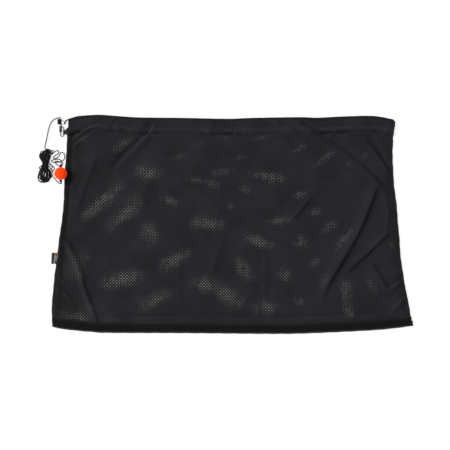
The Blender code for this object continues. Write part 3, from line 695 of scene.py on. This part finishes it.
def knitted(name, holes=True, tone=1.0, rise=None, thick=None, left_painted_shade=False):
    """Black knitted mesh: round holes in staggered rows, with thick rims and fine stitches.

    It can rise from painted shade to full tone across the cut, or be paler where it lies doubled.
    """
    finish = Finish(name, Sheen_Weight=0.06, Sheen_Roughness=0.45, Specular_IOR_Level=0.14)
    across, up = finish.lay("cut")
    one = (across * (1 / HOLE_ACROSS) + up * (1 / HOLE_UP)).saw()
    other = (across * (1 / HOLE_ACROSS) - up * (1 / HOLE_UP)).saw()
    away = (one * one + other * other) ** 0.5 * (HOLE_ACROSS / math.sqrt(2))
    rim = away.step(HOLE, HOLE + 0.0012, 1.0, 0.0)
    stitch = across.wave(0.00085).math("MAXIMUM", up.wave(0.0011))
    cloud = finish.noise(9.0, detail=4.0)
    fluff = finish.noise(800.0, detail=3.0)
    shade = cloud.step(0.3, 0.7, 0.15, 0.40) + stitch * 0.12 + fluff * 0.15
    dark = tuple(tone * c for c in (0.0040, 0.0040, 0.0048))
    pale = tuple(tone * c for c in (0.0435, 0.0435, 0.0510))
    if holes:
        # painted shade: the knit darkens in a ring round each hole, where its edge curls in, and is
        # paler further out
        shade = (shade * away.step(HOLE, 1.7 * HOLE, 0.1, 1.0)
                 + away.step(HOLE, 2.1 * HOLE, 0.0, 0.5))
        finish.give(Alpha=away.step(HOLE - 0.0002, HOLE + 0.0002))
    else:
        # painted shade: darker spots where the doubled mesh's holes lie, with paler knit between them
        shade = shade + away.step(HOLE * 0.7, 2.1 * HOLE, -0.25, 0.45)
    if rise:
        # painted shade: darker towards the low end of the cut
        shade = shade * up.step(*rise, 0.17, 1.0)
    if left_painted_shade:                   # painted shade: a dark strip just inside the left edge
        inset = across - up * LEAN + 0.5748
        shade = shade * (1 - inset.step(0.005, 0.012) * inset.step(0.019, 0.030, 0.60, 0.0))
        # painted shade: the whole cloth darker towards the left edge
        shade = shade * inset.step(0.02, 0.18, 0.82, 1.0)
    if thick:
        shade = shade + up.step(thick[0], thick[0] + 0.003) * up.step(thick[1], thick[1] + 0.003,
                                                                     0.32, 0.0)
    finish.give(Base_Color=finish.mix(shade, dark, pale),
                Roughness=fluff.step(0.3, 0.7, 0.60, 0.78))
    finish.bump(rim * 0.8 + stitch * 0.35 + fluff * 0.2 - (0.0 if holes else 1.0)
                * away.step(HOLE - 0.0006, HOLE + 0.0004, 0.8, 0.0), 0.00035)
    return finish.material


open_mesh = knitted("black_mesh", left_painted_shade=True)
# painted shade: the back panel is made darker, for the shade it lies in beneath the front panel
back_mesh = knitted("black_mesh_back", tone=0.45)
doubled_mesh = knitted("black_mesh_doubled", holes=False, tone=0.85)
hem_mesh = knitted("black_mesh_hem", holes=False, tone=0.85, thick=(0.088, 0.102))
SIDE_HEM = 0.0060


def front_place(u, v):
    y0 = -0.305 + 0.610 * v
    left, right = left_x(y0) + SIDE_HEM - 0.003, right_x(y0) - SIDE_HEM + 0.003
    x = left + (right - left) * u
    low, high = bottom_y(x) + TAPE + BAND - 0.002, top_y(x) - HEM + 0.004
    y = low + (high - low) * v
    return (x, y, front_height(x, y)), (x, y)


front = cloth("front_cloth", 330, 196, front_place)
front.data.materials.append(open_mesh)
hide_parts("front_panel")
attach(front, "bag")


def back_place(u, v):
    y0 = -0.350 + 0.655 * v
    left, right = left_x(y0) + 0.0012, right_x(y0) - 0.0012
    x = left + (right - left) * u
    low, high = bottom_y(x) + TAPE - 0.003, top_y(x) - HEM + 0.004
    y = low + (high - low) * v
    shift = 0.5 * HOLE_ACROSS * (1 - 0.80 * in_line(x, y))
    z = 0.0009 + 0.0005 * crumple(x, y, 0.09, 2.2)
    return (x, y, z), (x + shift, y)


back = cloth("back_cloth", 220, 130, back_place, normal_up=False)
back.data.materials.append(back_mesh)
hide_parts("back_panel")
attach(back, "bag")


def folded_strip(name, stations, profile_at, thickness, material, node):
    """A strip of cloth or tape folded along its length: one profile for each station."""
    profiles = np.array([profile_at(s) for s in stations])
    across, up = len(stations) - 1, profiles.shape[1] - 1
    steps = np.linalg.norm(np.diff(profiles[len(stations) // 2], axis=0), axis=1)
    run = np.concatenate([[0], np.cumsum(steps)])

    def place(u, v):
        column, row = np.rint(u * across).astype(int), np.rint(v * up).astype(int)
        return profiles[column, row].T, (stations[column], run[row])

    obj = cloth(name, across, up, place)
    bm = bmesh.new()
    bm.from_mesh(obj.data)
    bmesh.ops.recalc_face_normals(bm, faces=bm.faces)
    bm.to_mesh(obj.data)
    bm.free()
    shell = obj.modifiers.new("cloth", "SOLIDIFY")
    shell.thickness, shell.offset = thickness, 0.0
    obj.data.materials.append(material)
    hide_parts(node)
    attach(obj, "bag")


# --- Casing round the mouth ------------------------------------------------------------------
# Each side of the mouth is folded over the drawcord and stitched down 45 mm below its edge, with
# the raw edge turned under, so its lower third is thicker.
HEM_ENDS = (-0.5465, 0.5320)
hem_columns = np.linspace(*HEM_ENDS, 361)
hem_ruck = dict(zip(hem_columns, crumple(hem_columns, 0 * hem_columns, 0.022, 4.4).tolist()))


def hem_profile(low, reach, seed):
    def at(x):
        ruck = 0.0009 * hem_ruck[x] * math.sin(seed + 40 * x)
        edge_y = float(top_y(x)) + 0.4 * ruck
        # the inner ply, the roll round the drawcord, and the outer ply with its raw edge under it
        radius = 0.0020
        turn = np.radians(np.linspace(-90, 140, 10))
        under = [(-t, low + 0.0004) for t in (HEM, 0.040, 0.030, 0.020, 0.010)]
        roll = [(-radius + radius * math.cos(a), low + 0.0003 + radius * (1 + math.sin(a)))
                for a in turn]
        over = []
        for t in (0.0055, 0.0075, 0.011, 0.016, 0.022, 0.028, 0.032, 0.034, 0.037, 0.041, 0.0440,
                  0.0455, 0.0468, 0.0480, 0.0500, 0.0520, HEM + 0.0005):
            thick = 0.0011 + 0.0010 * ease(t, 0.031, 0.036)
            thick -= 0.0008 * math.exp(-((t - 0.0460) / 0.0010) ** 2)
            thick += reach * (0.0010 + 0.9 * ruck) * math.exp(-((t - 0.040) / 0.005) ** 2)
            thick += ruck * math.exp(-(t / 0.02) ** 2)
            over.append((-t, low + 0.0004 + max(thick, 0.0009)))
        if low:                     # the front casing follows the creases of the panel
            depth = np.array([-u for u, _ in over])
            lying = front_height(np.full_like(depth, x), edge_y - depth)
            casing = np.array([z for _, z in over])
            laid_z = casing + (lying - LYING) * ease(depth, 0.004, 0.020)
            laid_z += (lying + 0.0007 - laid_z) * ease(depth, 0.034, 0.050)
            laid_z += 0.0020 * ease(depth, 0.006, 0.014) * crumple(
                np.full_like(depth, x), edge_y - depth, 0.017, 8.8, 2.2, -0.6)
            over = list(zip(-depth, laid_z))
        rows = [(edge_y + u, z) for u, z in [*under, *roll, *over]]
        end = ease(x, 0.490, HEM_ENDS[1])
        return [(x + (float(right_x(y)) - HEM_ENDS[1]) * end, y, z) for y, z in rows]
    return at


MESH_THICK = 0.0005
folded_strip("hem_front_cloth", hem_columns, hem_profile(FRONT_LEVEL, 1.0, 0.3), MESH_THICK,
             hem_mesh, "hem_front")
folded_strip("hem_back_cloth", hem_columns, hem_profile(0.0, 0.3, 1.9), MESH_THICK,
             hem_mesh, "hem_back")

# --- Side seams ------------------------------------------------------------------------------
# The two panels' edges are rolled together and overlocked, which makes a narrow welt of doubled
# mesh down each side, from the casing to the bottom band.


def height_at(x, y):
    return float(front_height(np.array([x]), np.array([y]))[0])


def side_profile(edge_x, inward):
    def at(y):
        x = float(edge_x(y))
        beat = 0.0004 * math.sin(y * 160) + 0.0005 * math.sin(y * 53 + 1)
        inner_z = height_at(x + inward * 0.0075, y)
        rows = [(0.0085, 0.0006), (0.0050, 0.0006), (0.0020, 0.0007), (0.0006, 0.0011),
                (0.0003, 0.0020), (0.0010, 0.0030), (0.0026, 0.0038),
                (0.0045, 0.5 * (0.0040 + inner_z)), (0.0062, inner_z + 0.0004),
                (0.0075, inner_z + 0.0005)]
        return [(x + inward * (u + beat * (u < 0.004)), y, z) for u, z in rows]
    return at


for name, edge_x, inward, node in (("left_welt", left_x, 1, "left_seam"),
                                   ("right_welt", right_x, -1, "right_seam")):
    ys = np.linspace(-0.330, 0.300 if inward > 0 else 0.283, 200)
    folded_strip(name, ys, side_profile(edge_x, inward), MESH_THICK, doubled_mesh,
                 node)

# --- Bottom band and its tape ----------------------------------------------------------------
# The bottom is closed with a band of doubled mesh 32 mm deep.  Its raw edge is bound with a
# narrow black tape, folded over it and sewn through.
# painted shade: the band is darker towards its bottom edge, where it turns down to the table
band_mesh = knitted("black_mesh_band", holes=False, tone=0.85, rise=(0.019, 0.034))
BAND_ENDS = (-0.5985, 0.5950)


def band_profile(x):
    base = float(bottom_y(x))
    beat = 0.0003 * math.sin(x * 210) + 0.0004 * math.sin(x * 47)
    inner = height_at(x, base + TAPE + BAND)
    rows = [(0.0046, 0.0030), (0.0075, 0.0034), (0.0130, 0.0042), (0.0190, 0.0052),
            (0.0250, 0.0066), (0.0300, 0.0080), (0.0345, inner + 0.0004),
            (0.0370, inner + 0.0007)]
    end = ease(x, 0.550, BAND_ENDS[1])
    return [(x + (float(right_x(base + u)) - 0.0010 - BAND_ENDS[1]) * end, base + u,
             z + beat * (0.006 < u < 0.03)) for u, z in rows]


folded_strip("bottom_band", np.linspace(*BAND_ENDS, 400), band_profile, 0.0006,
             band_mesh, "bottom_seam")


def tape_profile(x):
    base = float(bottom_y(x))
    beat = 0.0003 * math.sin(x * 120 + 1.0)
    rows = [(0.0055, 0.0004), (0.0025, 0.0004), (0.0008, 0.0009), (0.0003, 0.0018),
            (0.0009, 0.0029), (0.0025, 0.0035), (0.0043, 0.0037), (0.0055, 0.0035)]
    return [(x, base + u + beat * (u < 0.003), z) for u, z in rows]


woven = Finish("black_tape", Sheen_Weight=0.4, Sheen_Roughness=0.4)
along, over = woven.lay("cut")
rib = along.wave(0.0011) * 0.5 + over.wave(0.0007) * 0.5
fuzz = woven.noise(1200.0)
woven.give(Base_Color=woven.mix(rib.step(-1.0, 1.0) * 0.5 + fuzz * 0.4, (0.009, 0.009, 0.010),
                                (0.034, 0.034, 0.037)),
           Roughness=fuzz.step(0.3, 0.7, 0.62, 0.80))
woven.bump(rib + fuzz * 0.3, 0.00022)
folded_strip("bottom_tape", np.linspace(-0.6010, 0.6010, 420), tape_profile, 0.0006,
             woven.material, "bottom_binding")

# --- Drawcord --------------------------------------------------------------------------------
# A 2.5 mm braided cord through both casings and round the right end; its two tails come out at
# the left and are knotted.
DRAWCORD = 0.0025
inside_roll = 0.00215
run_x = np.linspace(HEM_ENDS[0], HEM_ENDS[1], 90)
run_back = [(x, float(top_y(x)) - inside_roll, inside_roll) for x in run_x]
run_front = [(x, float(top_y(x)) - inside_roll, FRONT_LEVEL + inside_roll) for x in run_x[::-1]]
turn_x = HEM_ENDS[1] - 0.0010
round_end = [(turn_x + 0.0045 * math.cos(a), float(top_y(turn_x)) - inside_roll,
              inside_roll + 0.0045 * (1 + math.sin(a)))
             for a in np.radians(np.linspace(-90, 90, 9))]
KNOT = np.array((-0.5590, 0.3360, 0.0030))
tail_back = [tuple(KNOT + (0.0003, 0.0012, 0.0)), tuple(KNOT + (-0.0004, 0.0042, -0.0008)),
             (-0.5575, 0.3440, 0.0016), (-0.5535, 0.3474, 0.0018)]
tail_front = [(-0.5498, 0.3470, 0.0100), (-0.5525, 0.3432, 0.0062),
              tuple(KNOT + (0.0034, 0.0030, 0.0002)), tuple(KNOT + (0.0012, 0.0008, 0.0002))]
draw_line = smooth_line([*tail_back, *run_back, *round_end, *run_front, *tail_front], 0.0030)
black_drawcord = braided("black_drawcord", DRAWCORD, 4, 0.0035)
drawcord = cord_mesh("drawcord_line", draw_line, DRAWCORD, sides=8)
drawcord.data.materials.append(black_drawcord)
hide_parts("drawcord")
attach(drawcord, "bag")
wrap = coil(KNOT, 0.0016, 0.0014, 2.2, steps=14)
draw_knot = cord_mesh("drawcord_tie", smooth_line(
    [KNOT + (0.0030, 0.0026, 0.0004), *wrap, KNOT + (-0.0030, -0.0034, -0.0004)], 0.0008), 0.0023,
    sides=8)
draw_knot.data.materials.append(black_drawcord)
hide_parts("drawcord_knot")
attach(draw_knot, "bag")

# --- Webbing tab -----------------------------------------------------------------------------
# A short strap of black woven webbing.  It is folded round the hook's bar, and its two ends are
# sewn into the end of the casing.
BAR_X = -0.5610
tab_turn = np.radians(np.linspace(90, 270, 13))
tab_mid = 0.0026
tab_straight = (0.0142, 0.0110, 0.0080, 0.0050)
tab_rows = [*[(u, tab_mid) for u in tab_straight],
            *[(tab_mid * math.cos(a), tab_mid * math.sin(a)) for a in tab_turn],
            *[(u, -tab_mid) for u in tab_straight[::-1]]]


def tab_profile(share):
    rows = []
    for u, w in tab_rows:
        spread = max(0.0, u - 0.005) / 0.0092
        low, high = 0.2995 + (0.2975 - 0.2995) * spread, 0.3145 + (0.3240 - 0.3145) * spread
        rows.append((BAR_X + u, low + (high - low) * share, SNAP_Z + w
                     + 0.0002 * math.sin(40 * share)))
    return rows


folded_strip("tab_strap", np.linspace(0, 1, 25), tab_profile, 0.0011,
             woven.material, "webbing_tab")

# --- Woven label -----------------------------------------------------------------------------
# A small black damask label with a plain pale stripe and an orange block woven into it.  Its
# inner end is caught in the left seam.
label_rows = np.linspace(-0.1310, -0.0940, 38)


def label_profile(y):
    inner = float(left_x(y)) - 0.0002
    outer = -0.6035 + 0.0015 * (y + 0.1310) / 0.037
    return [(outer + (inner - outer) * t, y, 0.0009 + 0.0003 * math.sin(y * 300 + 3 * t))
            for t in np.linspace(0, 1, 14)]


damask = Finish("woven_label", Sheen_Weight=0.3)
split, label_y = damask.first_two(damask.where())
stripe = (label_y + 0.1160).math("ABSOLUTE").step(0.0132, 0.0137, 1.0, 0.0)
label_x = (split + 0.5918 - (label_y + 0.1160) * 0.16).math("ABSOLUTE")
middle = label_x.step(0.0017, 0.0021, 1.0, 0.0)
top_mark = ((label_y + 0.0975).math("ABSOLUTE").step(0.0028, 0.0032, 1.0, 0.0)
            * label_x.step(0.0028, 0.0032, 1.0, 0.0))
thread = label_y.wave(0.0006) * split.wave(0.0008)
ground = damask.mix(stripe * middle * 0.8, (0.014, 0.014, 0.015), (0.52, 0.52, 0.50))
damask.give(Base_Color=damask.mix(top_mark, ground, (0.75, 0.16, 0.02)),
            Roughness=thread.step(-1.0, 1.0, 0.55, 0.75))
damask.bump(thread, 0.0001)
folded_strip("stripe_label", label_rows, label_profile, 0.0006, damask.material,
             "side_label")

# --- Snap hook -------------------------------------------------------------------------------
# A small cast bolt snap with a black coating.  The sprung bolt closes its hook, and a nickel eye
# swivels in its end.
coating = Finish("black_hook", Coat_Weight=0.3, Coat_Roughness=0.2)
scuff = coating.noise(1500.0, detail=5.0)
coating.give(Base_Color=coating.mix(scuff.step(0.45, 0.75), (0.010, 0.010, 0.011),
                                    (0.030, 0.030, 0.032)),
             Roughness=scuff.step(0.3, 0.7, 0.22, 0.40))
coating.bump(scuff, 0.00003)
nickel = Finish("nickel", Metallic=1.0)
haze = nickel.noise(900.0, detail=4.0)
nickel.give(Base_Color=nickel.mix(haze.step(0.3, 0.7), (0.50, 0.47, 0.42), (0.34, 0.32, 0.28)),
            Roughness=haze.step(0.3, 0.7, 0.20, 0.36))
nickel.bump(haze, 0.00003)
spring = Finish("spring_steel", Metallic=1.0)
grain = spring.noise(2500.0)
spring.give(Base_Color=spring.mix(grain, (0.50, 0.50, 0.52), (0.62, 0.62, 0.64)),
            Roughness=grain.step(0.3, 0.7, 0.30, 0.42))
for node, finish in (("snap_hook", coating), ("snap_bolt", coating), ("swivel_eye", nickel),
                     ("bolt_spring", spring)):
    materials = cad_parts[node].data.materials
    materials.clear()
    materials.append(finish.material)
